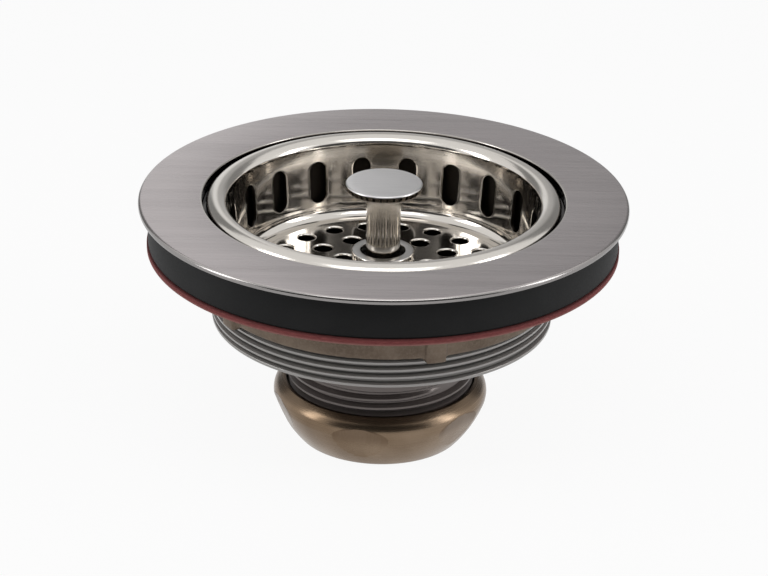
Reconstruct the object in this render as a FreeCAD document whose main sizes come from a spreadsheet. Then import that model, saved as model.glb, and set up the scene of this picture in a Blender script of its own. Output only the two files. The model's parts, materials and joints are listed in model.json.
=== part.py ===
import FreeCAD, Part
import math
import os
import re
import Sketcher

# Basket strainer waste for a kitchen sink, in millimetres.
# The origin is on the axis, in the plane of the flange's seat on the sink, and +Z points up.

doc = FreeCAD.newDocument("basket_strainer_waste")

# Driving sizes: name, size, and what it measures

driving = [
    ("flange_radius", 57.15, "flange, outside"),
    ("flange_thickness", 1.3, "flange top above the seat plane"),
    ("flange_edge", 0.7, "rounding of the flange's outer top edge"),
    ("lip_width", 1.75, "flat lip under the flange's rim"),
    ("recess_height", 0.4, "putty recess inside the lip"),
    ("flange_width", 14.75, "flange, from its rim in to the mouth"),
    ("mouth_edge", 0.25, "rounding of the mouth's edge"),
    ("ledge_depth", 2.8, "flange top down to the ledge that carries the basket"),
    ("ledge_width", 4.8, "ledge that carries the basket"),
    ("shoulder_wall", 1.7, "wall round the mouth, which centres the body in the sink's hole"),
    ("shoulder_height", 2.9, "straight part of the shoulder"),
    ("shoulder_taper", 3.0, "taper from the shoulder to the thread"),
    ("barrel_wall", 2.6, "bowl, from its inside out to the thread's crest"),
    ("thread_pitch", 1.814, "body thread, fourteen to the inch"),
    ("thread_depth", 0.95, "body thread, crest to root"),
    ("thread_flat", 0.4, "width of the crest"),
    ("seat_depth", 32.0, "seat plane down to the outlet's seat"),
    ("seat_margin", 1.6, "outlet's seat beyond the stopper seal"),
    ("bowl_taper", 6.5, "height over which the bowl turns in to the seat"),
    ("outlet_radius", 19.3, "outlet bore"),
    ("seat_wall", 3.0, "outlet's seat down to the root of the neck"),
    ("hip_height", 6.7, "root of the neck up to the foot of the body thread"),
    ("neck_wall", 2.9, "outlet bore out to the neck thread's crest"),
    ("neck_length", 15.5, "root of the neck down to its end"),
    ("neck_relief", 0.7, "plain neck above the thread, below the crest"),
    ("neck_thread_length", 10.8, "threaded length of the neck"),
    ("neck_pitch", 2.209, "neck thread, eleven and a half to the inch"),
    ("neck_thread_depth", 1.1, "neck thread, crest to root"),
    ("neck_thread_flat", 0.5, "width of the neck thread's crest"),
    ("gasket_thickness", 9.6, "rubber sink gasket"),
    ("gasket_clearance", 0.4, "gasket inside the lip and round the shoulder"),
    ("gasket_edge", 0.6, "rounding of the gasket's outer edges"),
    ("fibre_overhang", 0.3, "friction washer outside the gasket"),
    ("fibre_thickness", 1.5, "friction washer"),
    ("fibre_clearance", 0.6, "friction washer round the body thread"),
    ("thread_clearance", 0.3, "nut bores outside the thread crests"),
    ("locknut_wall", 1.3, "locknut ring"),
    ("locknut_height", 10.2, "locknut ring"),
    ("bearing_width", 7.3, "locknut's bearing flange outside the ring"),
    ("bearing_thickness", 2.6, "locknut's bearing flange"),
    ("lug_thickness", 1.9, "lugs outside the ring at the bearing flange"),
    ("lug_foot", 1.1, "lugs outside the ring at their feet"),
    ("lug_count", 5, "lugs round the ring"),
    ("lug_angle", 6.5, "lugs, width round the ring in degrees"),
    ("locknut_turn", -1.0, "locknut as it was left, degrees about Z"),
    ("tail_washer_thickness", 2.0, "tailpiece washer"),
    ("tail_washer_margin", 0.2, "tailpiece washer's bore outside the tailpiece hole"),
    ("tail_washer_clearance", 0.3, "tailpiece washer inside the coupling nut"),
    ("coupling_lip", 6.2, "coupling nut's bottom wall"),
    ("coupling_height", 14.05, "coupling nut"),
    ("coupling_wall", 3.1, "coupling nut, from its bore to its widest"),
    ("tail_clearance", 0.3, "tailpiece hole outside the outlet bore"),
    ("coupling_land", 0.9, "flat round the top of the coupling nut's bore"),
    ("coupling_shoulder_width", 0.22, "rounded shoulder, from the widest in to the bevel and the taper"),
    ("coupling_bevel_height", 2.4, "coupling nut's top bevel"),
    ("coupling_shoulder_height", 2.6, "rounded shoulder under the bevel"),
    ("coupling_taper_bend", 27.0, "radius of the tapered side under the shoulder"),
    ("coupling_foot", 0.5, "flat round the tailpiece hole at the foot of the taper"),
    ("coupling_flat_depth", 0.6, "coupling nut's spanner flats, in from the widest at mid-shoulder"),
    ("coupling_flat_lean", 19.5, "spanner flats, how far they lean in towards the foot, degrees"),
    ("coupling_turn", 19.5, "coupling nut as it was left, degrees about Z"),
    ("sheet_thickness", 0.7, "basket sheet"),
    ("rim_clearance", 0.95, "basket rim inside the mouth"),
    ("rim_skirt", 1.7, "straight skirt of the rim above the ledge"),
    ("rim_roll", 2.7, "radius of the rolled rim"),
    ("basket_clearance", 0.4, "basket wall inside the bowl, under the rim"),
    ("wall_draft", 1.3, "basket wall, how far it draws in down to the floor"),
    ("floor_drop", 16.2, "ledge down to the basket floor"),
    ("channel_depth", 0.7, "channel round the basket floor"),
    ("corner_bend", 3.0, "inside bend between wall and channel"),
    ("channel_width", 0.6, "flat of the channel round the basket floor"),
    ("floor_ramp", 1.0, "slope from the floor to the channel"),
    ("slot_count", 20, "slots round the wall"),
    ("slot_width", 4.4, "wall slots"),
    ("slot_height", 10.5, "wall slots, end to end"),
    ("slot_drop", 2.05, "ledge down to the top of the slots"),
    ("basket_turn", 9.0, "basket as it rests, degrees about Z"),
    ("outer_hole_count", 20, "outer ring of floor holes"),
    ("outer_hole_margin", 2.25, "raised floor outside the outer holes"),
    ("outer_hole_radius", 2.05, "outer floor holes"),
    ("outer_hole_turn", 0.0, "outer ring, degrees from the slots"),
    ("middle_hole_count", 14, "middle ring of floor holes"),
    ("middle_hole_radius", 2.2, "middle floor holes"),
    ("middle_hole_turn", 1.5, "middle ring, degrees from the slots"),
    ("inner_hole_count", 6, "inner ring of floor holes"),
    ("inner_hole_margin", 2.15, "floor between the stem guide and the inner holes"),
    ("inner_hole_radius", 2.15, "inner floor holes"),
    ("inner_hole_turn", 14.0, "inner ring, degrees from the slots"),
    ("stem_radius", 4.05, "stem"),
    ("stem_clearance", 0.05, "stem in its guide"),
    ("stem_length", 32.4, "stem shoulder up to the top of the knob"),
    ("knob_radius", 8.95, "knob"),
    ("knob_thickness", 2.1, "knob"),
    ("knob_dome", 0.35, "rise of the knob's top"),
    ("knob_edge", 0.45, "rounding of the knob's edges"),
    ("stud_step", 1.05, "threaded end of the stem, inside the stem"),
    ("stud_end", 1.0, "stud below its nut"),
    ("stud_clearance", 0.1, "stopper pieces round the stud"),
    ("collar_wall", 2.15, "stem guide round its counterbore"),
    ("collar_height", 5.5, "stem guide above the floor"),
    ("collar_edge", 0.5, "rounding of the stem guide's top"),
    ("packing_depth", 3.0, "counterbore in the stem guide"),
    ("packing_width", 1.2, "counterbore in the stem guide, outside the stem"),
    ("packing_clearance", 0.06, "packing ring between stem and counterbore"),
    ("shank_wall", 1.55, "stem guide through the floor, outside the stem"),
    ("shank_clearance", 0.1, "floor hole and guide nut round the shank"),
    ("shank_end", 0.3, "shank below its nut"),
    ("guide_nut_height", 2.0, "guide nut"),
    ("guide_nut_flats", 16.0, "guide nut across its flats"),
    ("seal_overlap", 3.3, "stopper seal outside the outlet bore"),
    ("seal_thickness", 3.5, "stopper seal"),
    ("seal_edge", 0.8, "rounding of the stopper seal"),
    ("washer_thickness", 1.2, "washers that clamp the seal"),
    ("upper_washer_radius", 16.0, "washer over the seal"),
    ("lower_washer_radius", 14.5, "washer under the seal"),
    ("stem_nut_height", 4.0, "stem nut"),
    ("stem_nut_flats", 10.0, "stem nut across its flats"),
]

sheet = doc.addObject("Spreadsheet::Sheet", "Sizes")
for row, (alias, size, note) in enumerate(driving, start=1):
    sheet.set(f"A{row}", note)
    sheet.set(f"B{row}", str(size))
    sheet.setAlias(f"B{row}", alias)
doc.recompute()
aliases = {alias for alias, size, note in driving}

# Heights and radii that follow from the driving sizes

flange_top = "flange_thickness"
ledge = "(flange_thickness - ledge_depth)"
lip_inside = "(flange_radius - lip_width)"
mouth_radius = "(flange_radius - flange_width)"
shoulder_radius = f"({mouth_radius} + shoulder_wall)"
throat_radius = f"({mouth_radius} - ledge_width)"
thread_radius = f"({throat_radius} + barrel_wall)"
thread_top = "(recess_height - shoulder_height - shoulder_taper)"
bowl_foot = "(bowl_taper - seat_depth)"
hip = "(-seat_depth - seat_wall)"
thread_foot = f"({hip} + hip_height)"
neck_radius = "(outlet_radius + neck_wall)"
neck_end = f"({hip} - neck_length)"
neck_thread_top = f"({neck_end} + neck_thread_length)"
seal_radius = "(outlet_radius + seal_overlap)"
seat_radius = f"({seal_radius} + seat_margin)"
gasket_top = "recess_height"
gasket_bottom = f"({gasket_top} - gasket_thickness)"
gasket_outside = f"({lip_inside} - gasket_clearance)"
gasket_bore = f"({shoulder_radius} + gasket_clearance)"
fibre_bottom = f"({gasket_bottom} - fibre_thickness)"
locknut_top = fibre_bottom
locknut_bore = f"({thread_radius} + thread_clearance)"
locknut_radius = f"({locknut_bore} + locknut_wall)"
locknut_bottom = f"({locknut_top} - locknut_height)"
bearing_under = f"({locknut_top} - bearing_thickness)"
coupling_hole = "(outlet_radius + tail_clearance)"
tail_washer_bottom = f"({neck_end} - tail_washer_thickness)"
coupling_bottom = f"({tail_washer_bottom} - coupling_lip)"
coupling_top = f"({coupling_bottom} + coupling_height)"
coupling_bore = f"({neck_radius} + thread_clearance)"
coupling_radius = f"({coupling_bore} + coupling_wall)"
bevel_foot = f"({coupling_top} - coupling_bevel_height)"
taper_top = f"({bevel_foot} - coupling_shoulder_height)"
taper_radius = f"({coupling_radius} - coupling_shoulder_width)"
mid_shoulder = f"({bevel_foot} - coupling_shoulder_height / 2)"
shoulder_chord = "((coupling_shoulder_height / 2) ^ 2 + coupling_shoulder_width ^ 2)"
shoulder_bend = f"({shoulder_chord} / (2 * coupling_shoulder_width))"
rim_radius = f"({mouth_radius} - rim_clearance)"
rim_base = f"({ledge} + rim_skirt)"
wall_top_radius = f"({throat_radius} - basket_clearance - sheet_thickness)"
wall_foot_radius = f"({wall_top_radius} - wall_draft)"
channel_radius = f"({wall_foot_radius} - corner_bend)"
ramp_radius = f"({channel_radius} - channel_width)"
floor_radius = f"({ramp_radius} - floor_ramp)"
floor = f"({ledge} - floor_drop)"
floor_under = f"({floor} - sheet_thickness)"
channel = f"({floor} - channel_depth)"
slot_top = f"({ledge} - slot_drop)"
packing_radius = "(stem_radius + packing_width)"
collar_radius = f"({packing_radius} + collar_wall)"
collar_top = f"({floor} + collar_height)"
packing_floor = f"({collar_top} - packing_depth)"
shank_radius = "(stem_radius + shank_wall)"
shank_bottom = f"({floor_under} - guide_nut_height - shank_end)"
shank_hole = f"({shank_radius} + shank_clearance)"
outer_hole_ring = f"({floor_radius} - outer_hole_margin - outer_hole_radius)"
inner_hole_ring = f"({collar_radius} + inner_hole_margin + inner_hole_radius)"
middle_hole_ring = f"(({outer_hole_ring} + {inner_hole_ring}) / 2)"
seal_bottom = "-seat_depth"
seal_top = f"({seal_bottom} + seal_thickness)"
stem_shoulder = f"({seal_top} + washer_thickness)"
stem_nut_top = f"({seal_bottom} - washer_thickness)"
stud_radius = "(stem_radius - stud_step)"
stud_bottom = f"({stem_nut_top} - stem_nut_height - stud_end)"
stud_hole = f"({stud_radius} + stud_clearance)"
knob_top = f"({stem_shoulder} + stem_length)"


# Small tools for sketches and features

def bound(formula):
    names = sorted(aliases, key=len, reverse=True)
    return re.sub(rf"\b({'|'.join(names)})\b", r"Sizes.\1", formula)


def value(formula):
    return float(sheet.evalExpression(bound(formula)))


def origin_feature(body, role):
    return next(feature for feature in body.Origin.OriginFeatures if feature.Role == role)


def bulge(radius):
    return ("arc", radius, 1, None)


def hollow(radius):
    return ("arc", radius, -1, None)


# A half circle is held by the height of its centre, because its radius alone says nothing more than its ends.
def half_round(radius, centre_up):
    return ("arc", radius, 1, centre_up)


def arc_between(start, end, radius, side):
    chord = end - start
    reach = math.sqrt(max(radius ** 2 - (chord.Length / 2) ** 2, 0))
    left = FreeCAD.Vector(-chord.y, chord.x, 0).normalize()
    centre = (start + end) / 2 + left * reach * side
    first, last = (start, end) if side > 0 else (end, start)
    angles = [math.atan2(point.y - centre.y, point.x - centre.x) for point in (first, last)]
    circle = Part.Circle(centre, FreeCAD.Vector(0, 0, 1), radius)
    return Part.ArcOfCircle(circle, angles[0], angles[1])


def empty_sketch(body, name, role):
    sketch = body.newObject("Sketcher::SketchObject", name)
    sketch.AttachmentSupport = (origin_feature(body, role), "")
    sketch.MapMode = "FlatFace"
    return sketch


def hold(sketch, kind, formula, *geometry):
    index = sketch.addConstraint(Sketcher.Constraint(kind, *geometry, value(formula)))
    sketch.setExpression(f"Constraints[{index}]", bound(formula))


def hold_point(sketch, edge, end, across, up):
    for kind, formula, axis in (("DistanceX", across, -2), ("DistanceY", up, -1)):
        if formula == "0":
            sketch.addConstraint(Sketcher.Constraint("PointOnObject", edge, end, axis))
        else:
            hold(sketch, kind, formula, -1, 1, edge, end)


# An outline runs anticlockwise through its corners, and an arc stands between the two corners that it joins.
def add_outline(sketch, outline):
    corners = [item for item in outline if item[0] != "arc"]
    arcs = {}
    for place, item in enumerate(outline):
        if item[0] == "arc":
            arcs[len([corner for corner in outline[:place] if corner[0] != "arc"]) - 1] = item
    points = [FreeCAD.Vector(value(across), value(up), 0) for across, up in corners]
    first_edge = sketch.GeometryCount
    ends = []
    for number, start in enumerate(points):
        end = points[(number + 1) % len(points)]
        if number in arcs:
            kind, radius, side, centre_up = arcs[number]
            sketch.addGeometry(arc_between(start, end, value(radius), side))
            ends.append((1, 2) if side > 0 else (2, 1))
        else:
            sketch.addGeometry(Part.LineSegment(start, end))
            ends.append((1, 2))
    for number in range(len(points)):
        following = (number + 1) % len(points)
        sketch.addConstraint(Sketcher.Constraint(
            "Coincident", first_edge + number, ends[number][1], first_edge + following, ends[following][0]))
    for number, (across, up) in enumerate(corners):
        hold_point(sketch, first_edge + number, ends[number][0], across, up)
    for number, (kind, radius, side, centre_up) in arcs.items():
        if centre_up:
            hold(sketch, "DistanceY", centre_up, -1, 1, first_edge + number, 3)
        else:
            hold(sketch, "Radius", radius, first_edge + number)


def add_circle(sketch, across, up, radius):
    centre = FreeCAD.Vector(value(across), value(up), 0)
    edge = sketch.addGeometry(Part.Circle(centre, FreeCAD.Vector(0, 0, 1), value(radius)))
    hold_point(sketch, edge, 3, across, up)
    hold(sketch, "Radius", radius, edge)


def section(body, name, outline, role="XZ_Plane"):
    sketch = empty_sketch(body, name, role)
    add_outline(sketch, outline)
    return sketch


def spin(body, kind, sketch, angle=None):
    feature = body.newObject(kind, f"{sketch.Name}_turned")
    feature.Profile = sketch
    feature.ReferenceAxis = (sketch, ["V_Axis"])
    feature.Angle = 360
    if angle:
        feature.Midplane = True
        feature.setExpression("Angle", bound(angle))
    doc.recompute()
    return feature


def turned_piece(label, outline):
    body = doc.addObject("PartDesign::Body", label)
    spin(body, "PartDesign::Revolution", section(body, f"{label}_section", outline))
    return body


def turn_about_axis(body, angle):
    upward = FreeCAD.Vector(0, 0, 1)
    body.Placement = FreeCAD.Placement(FreeCAD.Vector(), FreeCAD.Rotation(upward, value(angle)))
    body.setExpression("Placement.Rotation.Angle", bound(angle))


def cut_through(body, sketch, reversed_way):
    uncut = body.Shape.Volume
    pocket = body.newObject("PartDesign::Pocket", f"{sketch.Name}_cut")
    pocket.Profile = sketch
    pocket.Type = "ThroughAll"
    pocket.Reversed = reversed_way
    doc.recompute()
    if body.Shape.Volume >= uncut:
        raise RuntimeError(f"{pocket.Name} cuts nothing")
    return pocket


def around(body, feature, count):
    pattern = body.newObject("PartDesign::PolarPattern", f"{feature.Name}_ring")
    pattern.Originals = [feature]
    pattern.Axis = (origin_feature(body, "Z_Axis"), [""])
    pattern.Angle = 360
    pattern.setExpression("Occurrences", bound(count))
    body.Tip = pattern
    doc.recompute()


# A thread is a row of V grooves at its pitch, from the foot of the threaded length upwards.
def thread(body, name, crest, depth, flat, pitch, foot, length):
    half = f"({pitch} - {flat}) / 2"
    outside = f"{crest} + {depth}"
    middle = f"{foot} + {pitch} / 2"
    uncut = body.Shape.Volume
    groove = spin(body, "PartDesign::Groove", section(body, f"{name}_groove", [
        (f"{crest} - {depth}", middle),
        (outside, f"{middle} - 2 * {half}"),
        (outside, f"{middle} + 2 * {half}"),
    ]))
    if body.Shape.Volume >= uncut:
        raise RuntimeError(f"{groove.Name} cuts nothing")
    pattern = body.newObject("PartDesign::LinearPattern", f"{name}_grooves")
    pattern.Originals = [groove]
    pattern.Direction = (origin_feature(body, "Z_Axis"), [""])
    pattern.Mode = "Spacing"
    pattern.setExpression("Offset", bound(pitch))
    pattern.setExpression("Occurrences", bound(f"floor(({length}) / {pitch})"))
    body.Tip = pattern
    doc.recompute()


def hex_nut(label, flats, bore, bottom, height):
    body = doc.addObject("PartDesign::Body", label)
    sketch = empty_sketch(body, f"{label}_outline", "XY_Plane")
    sketch.setExpression("AttachmentOffset.Base.z", bound(bottom))
    corner = f"{flats} / 2 / cos(30)"
    turns = range(30, 390, 60)
    add_outline(sketch, [(f"{corner} * cos({turn})", f"{corner} * sin({turn})") for turn in turns])
    add_circle(sketch, "0", "0", bore)
    pad = body.newObject("PartDesign::Pad", f"{label}_pad")
    pad.Profile = sketch
    pad.setExpression("Length", bound(height))
    doc.recompute()
    return body


def flat_ring(label, inside, outside, bottom, top):
    return turned_piece(label, [(inside, bottom), (outside, bottom), (outside, top), (inside, top)])


# Strainer body: flange, ledge for the basket, bowl, outlet seat and threaded neck in one casting

strainer_body = turned_piece("strainer_body", [
    ("outlet_radius", neck_end),
    (neck_radius, neck_end),
    (neck_radius, neck_thread_top),
    (f"{neck_radius} - neck_relief", neck_thread_top),
    (f"{neck_radius} - neck_relief", hip),
    (thread_radius, thread_foot),
    (thread_radius, thread_top),
    (shoulder_radius, f"{thread_top} + shoulder_taper"),
    (shoulder_radius, "recess_height"),
    (lip_inside, "recess_height"),
    (lip_inside, "0"),
    ("flange_radius", "0"),
    ("flange_radius", f"{flange_top} - flange_edge"),
    bulge("flange_edge"),
    ("flange_radius - flange_edge", flange_top),
    (f"{mouth_radius} + mouth_edge", flange_top),
    bulge("mouth_edge"),
    (mouth_radius, f"{flange_top} - mouth_edge"),
    (mouth_radius, ledge),
    (throat_radius, ledge),
    (throat_radius, bowl_foot),
    (seat_radius, seal_bottom),
    ("outlet_radius", seal_bottom),
])
thread(strainer_body, "body_thread", thread_radius, "thread_depth", "thread_flat", "thread_pitch",
       thread_foot, f"{thread_top} - {thread_foot}")
thread(strainer_body, "neck_thread", neck_radius, "neck_thread_depth", "neck_thread_flat", "neck_pitch",
       neck_end, "neck_thread_length")

# Sink gasket and friction washer, stacked under the flange

sink_gasket = turned_piece("sink_gasket", [
    (gasket_bore, gasket_bottom),
    (f"{gasket_outside} - gasket_edge", gasket_bottom),
    bulge("gasket_edge"),
    (gasket_outside, f"{gasket_bottom} + gasket_edge"),
    (gasket_outside, gasket_top),
    (gasket_bore, gasket_top),
])
friction_washer = flat_ring("friction_washer", f"{thread_radius} + fibre_clearance",
                            f"{gasket_outside} + fibre_overhang", fibre_bottom, gasket_bottom)

# Locknut: a ring under a bearing flange, with spanner lugs down its side

locknut = turned_piece("locknut", [
    (locknut_bore, locknut_bottom),
    (locknut_radius, locknut_bottom),
    (locknut_radius, bearing_under),
    (f"{locknut_radius} + bearing_width", bearing_under),
    (f"{locknut_radius} + bearing_width", locknut_top),
    (locknut_bore, locknut_top),
])
lug_section = section(locknut, "lug", [
    (locknut_bore, locknut_bottom),
    (f"{locknut_radius} + lug_foot", locknut_bottom),
    (f"{locknut_radius} + lug_thickness", bearing_under),
    (locknut_bore, bearing_under),
])
around(locknut, spin(locknut, "PartDesign::Revolution", lug_section, "lug_angle"), "lug_count")
turn_about_axis(locknut, "locknut_turn")

# Coupling nut with its washer, which seal the tailpiece against the end of the neck

tailpiece_washer = flat_ring("tailpiece_washer", f"{coupling_hole} + tail_washer_margin",
                             f"{coupling_bore} - tail_washer_clearance", tail_washer_bottom, neck_end)
coupling_nut = turned_piece("coupling_nut", [
    (coupling_hole, coupling_bottom),
    (f"{coupling_hole} + coupling_foot", coupling_bottom),
    bulge("coupling_taper_bend"),
    (taper_radius, taper_top),
    bulge(shoulder_bend),
    (taper_radius, bevel_foot),
    (f"{coupling_bore} + coupling_land", coupling_top),
    (coupling_bore, coupling_top),
    (coupling_bore, tail_washer_bottom),
    (coupling_hole, tail_washer_bottom),
])
coupling_flat = f"{coupling_radius} - coupling_flat_depth"
flat_outline = section(coupling_nut, "spanner_flat", [
    (f"{coupling_flat} - ({mid_shoulder} - {coupling_bottom}) * tan(coupling_flat_lean)", coupling_bottom),
    (f"2 * {coupling_radius}", coupling_bottom),
    (f"2 * {coupling_radius}", coupling_top),
    (f"{coupling_flat} + ({coupling_top} - {mid_shoulder}) * tan(coupling_flat_lean)", coupling_top),
])
flat_outline.setExpression("AttachmentOffset.Base.z", bound(coupling_radius))
around(coupling_nut, cut_through(coupling_nut, flat_outline, False), "6")
turn_about_axis(coupling_nut, "coupling_turn")

# Basket: one drawn sheet with a rolled rim, slots in the wall and three rings of holes in the floor

basket_cup = turned_piece("basket_cup", [
    (shank_hole, floor_under),
    (floor_radius, floor_under),
    (ramp_radius, f"{channel} - sheet_thickness"),
    (channel_radius, f"{channel} - sheet_thickness"),
    bulge("corner_bend + sheet_thickness"),
    (f"{wall_foot_radius} + sheet_thickness", f"{channel} + corner_bend"),
    (f"{wall_top_radius} + sheet_thickness", rim_base),
    hollow("rim_roll - sheet_thickness"),
    (f"{rim_radius} - sheet_thickness", rim_base),
    (f"{rim_radius} - sheet_thickness", ledge),
    (rim_radius, ledge),
    (rim_radius, rim_base),
    bulge("rim_roll"),
    (wall_top_radius, rim_base),
    (wall_foot_radius, f"{channel} + corner_bend"),
    hollow("corner_bend"),
    (channel_radius, channel),
    (ramp_radius, channel),
    (floor_radius, floor),
    (shank_hole, floor),
])
slot_low = f"{slot_top} - slot_height + slot_width / 2"
slot_high = f"{slot_top} - slot_width / 2"
slot_outline = section(basket_cup, "wall_slot", [
    ("-slot_width / 2", slot_low),
    half_round("slot_width / 2", slot_low),
    ("slot_width / 2", slot_low),
    ("slot_width / 2", slot_high),
    half_round("slot_width / 2", slot_high),
    ("-slot_width / 2", slot_high),
])
around(basket_cup, cut_through(basket_cup, slot_outline, False), "slot_count")
hole_rings = (("outer", outer_hole_ring), ("middle", middle_hole_ring), ("inner", inner_hole_ring))
for ring, ring_radius in hole_rings:
    hole_outline = empty_sketch(basket_cup, f"{ring}_hole", "XY_Plane")
    add_circle(hole_outline, f"{ring_radius} * cos({ring}_hole_turn)",
               f"{ring_radius} * sin({ring}_hole_turn)", f"{ring}_hole_radius")
    around(basket_cup, cut_through(basket_cup, hole_outline, False), f"{ring}_hole_count")
turn_about_axis(basket_cup, "basket_turn")

# Stem guide through the basket floor, its nut underneath and the packing ring that grips the stem

stem_guide = turned_piece("stem_guide", [
    ("stem_radius + stem_clearance", shank_bottom),
    (shank_radius, shank_bottom),
    (shank_radius, floor),
    (collar_radius, floor),
    (collar_radius, f"{collar_top} - collar_edge"),
    bulge("collar_edge"),
    (f"{collar_radius} - collar_edge", collar_top),
    (packing_radius, collar_top),
    (packing_radius, packing_floor),
    ("stem_radius + stem_clearance", packing_floor),
])
guide_nut = hex_nut("guide_nut", "guide_nut_flats", shank_hole, f"{floor_under} - guide_nut_height",
                    "guide_nut_height")

packing_section = "(packing_width / 2 - packing_clearance)"
packing_ring = doc.addObject("Part::Torus", "packing_ring")
packing_ring.setExpression("Radius1", bound("stem_radius + packing_width / 2"))
packing_ring.setExpression("Radius2", bound(packing_section))
packing_ring.setExpression("Placement.Base.z", bound(f"{packing_floor} + {packing_section}"))

# Stopper: knob and stem in one turning, with the seal clamped between two washers by a nut

knob_stem = turned_piece("knob_stem", [
    ("0", stud_bottom),
    (stud_radius, stud_bottom),
    (stud_radius, stem_shoulder),
    ("stem_radius", stem_shoulder),
    ("stem_radius", f"{knob_top} - knob_thickness"),
    ("knob_radius - knob_edge", f"{knob_top} - knob_thickness"),
    bulge("knob_edge"),
    ("knob_radius", f"{knob_top} - knob_thickness + knob_edge"),
    ("knob_radius", f"{knob_top} - knob_dome - knob_edge"),
    bulge("knob_edge"),
    ("knob_radius - knob_edge", f"{knob_top} - knob_dome"),
    bulge("((knob_radius - knob_edge) ^ 2 + knob_dome ^ 2) / (2 * knob_dome)"),
    ("0", knob_top),
])
upper_washer = flat_ring("upper_washer", stud_hole, "upper_washer_radius", seal_top, stem_shoulder)
stopper_seal = turned_piece("stopper_seal", [
    (stud_hole, seal_bottom),
    (f"{seal_radius} - seal_edge", seal_bottom),
    bulge("seal_edge"),
    (seal_radius, f"{seal_bottom} + seal_edge"),
    (seal_radius, f"{seal_top} - seal_edge"),
    bulge("seal_edge"),
    (f"{seal_radius} - seal_edge", seal_top),
    (stud_hole, seal_top),
])
lower_washer = flat_ring("lower_washer", stud_hole, "lower_washer_radius", stem_nut_top, seal_bottom)
stem_nut = hex_nut("stem_nut", "stem_nut_flats", stud_hole, f"{stem_nut_top} - stem_nut_height",
                   "stem_nut_height")

# Checks, then one file for each piece

doc.recompute()
pieces = [strainer_body, sink_gasket, friction_washer, locknut, tailpiece_washer, coupling_nut, basket_cup,
          stem_guide, guide_nut, packing_ring, knob_stem, upper_washer, stopper_seal, lower_washer, stem_nut]
failed = [item.Name for item in doc.Objects if {"Invalid", "Error"} & set(item.State)]
failed += [piece.Label for piece in pieces if piece.Shape.isNull() or not piece.Shape.isValid()]
if failed:
    raise RuntimeError(f"these did not build: {failed}")

os.makedirs("parts", exist_ok=True)
for piece in pieces:
    piece.Shape.exportStep(os.path.join("parts", f"{piece.Label}.step"))
    print(f"{piece.Label}: {piece.Shape.Volume / 1000:.2f} cm3, {len(piece.Shape.Solids)} solid")
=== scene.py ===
import bpy
import json
import math
from mathutils import Matrix, Vector


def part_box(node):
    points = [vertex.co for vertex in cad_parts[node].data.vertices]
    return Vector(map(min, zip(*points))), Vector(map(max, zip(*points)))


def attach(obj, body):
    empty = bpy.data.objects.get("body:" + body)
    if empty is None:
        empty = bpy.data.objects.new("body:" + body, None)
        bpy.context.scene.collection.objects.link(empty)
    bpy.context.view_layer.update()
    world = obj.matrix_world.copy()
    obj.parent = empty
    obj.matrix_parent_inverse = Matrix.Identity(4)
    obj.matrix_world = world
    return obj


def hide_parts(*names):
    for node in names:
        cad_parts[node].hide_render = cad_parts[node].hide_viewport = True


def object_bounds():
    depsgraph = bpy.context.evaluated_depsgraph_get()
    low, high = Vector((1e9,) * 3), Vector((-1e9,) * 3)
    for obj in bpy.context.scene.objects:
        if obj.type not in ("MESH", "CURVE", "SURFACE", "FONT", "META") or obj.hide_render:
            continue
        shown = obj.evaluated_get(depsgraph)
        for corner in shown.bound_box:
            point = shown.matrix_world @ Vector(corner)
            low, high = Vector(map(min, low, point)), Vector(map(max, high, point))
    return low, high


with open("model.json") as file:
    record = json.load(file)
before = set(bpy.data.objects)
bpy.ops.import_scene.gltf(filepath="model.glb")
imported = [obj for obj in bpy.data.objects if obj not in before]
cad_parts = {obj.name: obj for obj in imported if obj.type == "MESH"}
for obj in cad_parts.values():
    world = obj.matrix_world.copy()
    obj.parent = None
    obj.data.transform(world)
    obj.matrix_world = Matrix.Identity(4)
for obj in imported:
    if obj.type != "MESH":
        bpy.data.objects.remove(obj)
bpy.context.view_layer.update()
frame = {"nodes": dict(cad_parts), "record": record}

bodies = frame["record"]["behaviour"]["bodies"]
bodyOfNode = {node: body for body, nodes in bodies.items() for node in nodes}

mm = 0.001  # outlines are in millimetres, Blender is in metres
roundSteps = 240  # steps of a full turn


def nodeSize(node):  # outside radius, foot and top of a CAD node in millimetres
    low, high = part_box(node)
    return high[0] / mm, low[2] / mm, high[2] / mm


# modelling helpers

def clearSelection():
    if bpy.context.object and bpy.context.object.mode != "OBJECT":
        bpy.ops.object.mode_set(mode="OBJECT")
    bpy.ops.object.select_all(action="DESELECT")


def pickOnly(piece):
    clearSelection()
    piece.select_set(True)
    bpy.context.view_layer.objects.active = piece


def softOutline(corners, arcSteps=6):  # corners are (radius, height, rounding)
    points = []
    for number, (across, up, rounding) in enumerate(corners):
        corner = Vector((across, up))
        if not rounding:
            points.append(corner)
            continue
        back = (Vector(corners[number - 1][:2]) - corner).normalized()
        ahead = (Vector(corners[(number + 1) % len(corners)][:2]) - corner).normalized()
        half = back.angle(ahead) / 2
        centre = corner + (back + ahead).normalized() * rounding / math.sin(half)
        start = corner + back * rounding / math.tan(half) - centre
        end = corner + ahead * rounding / math.tan(half) - centre
        first = math.atan2(start.y, start.x)
        sweep = (math.atan2(end.y, end.x) - first + math.pi) % (2 * math.pi) - math.pi
        for step in range(arcSteps + 1):
            angle = first + sweep * step / arcSteps
            points.append(centre + Vector((math.cos(angle), math.sin(angle))) * rounding)
    return points


def bowedLine(start, end, rise, steps):  # points of a flat arc that bows to the right, without its ends
    start, end = Vector(start), Vector(end)
    outward = Vector((end.y - start.y, start.x - end.x)).normalized()
    shares = [step / steps for step in range(1, steps)]
    return [start.lerp(end, share) + outward * rise * 4 * share * (1 - share) for share in shares]


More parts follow.
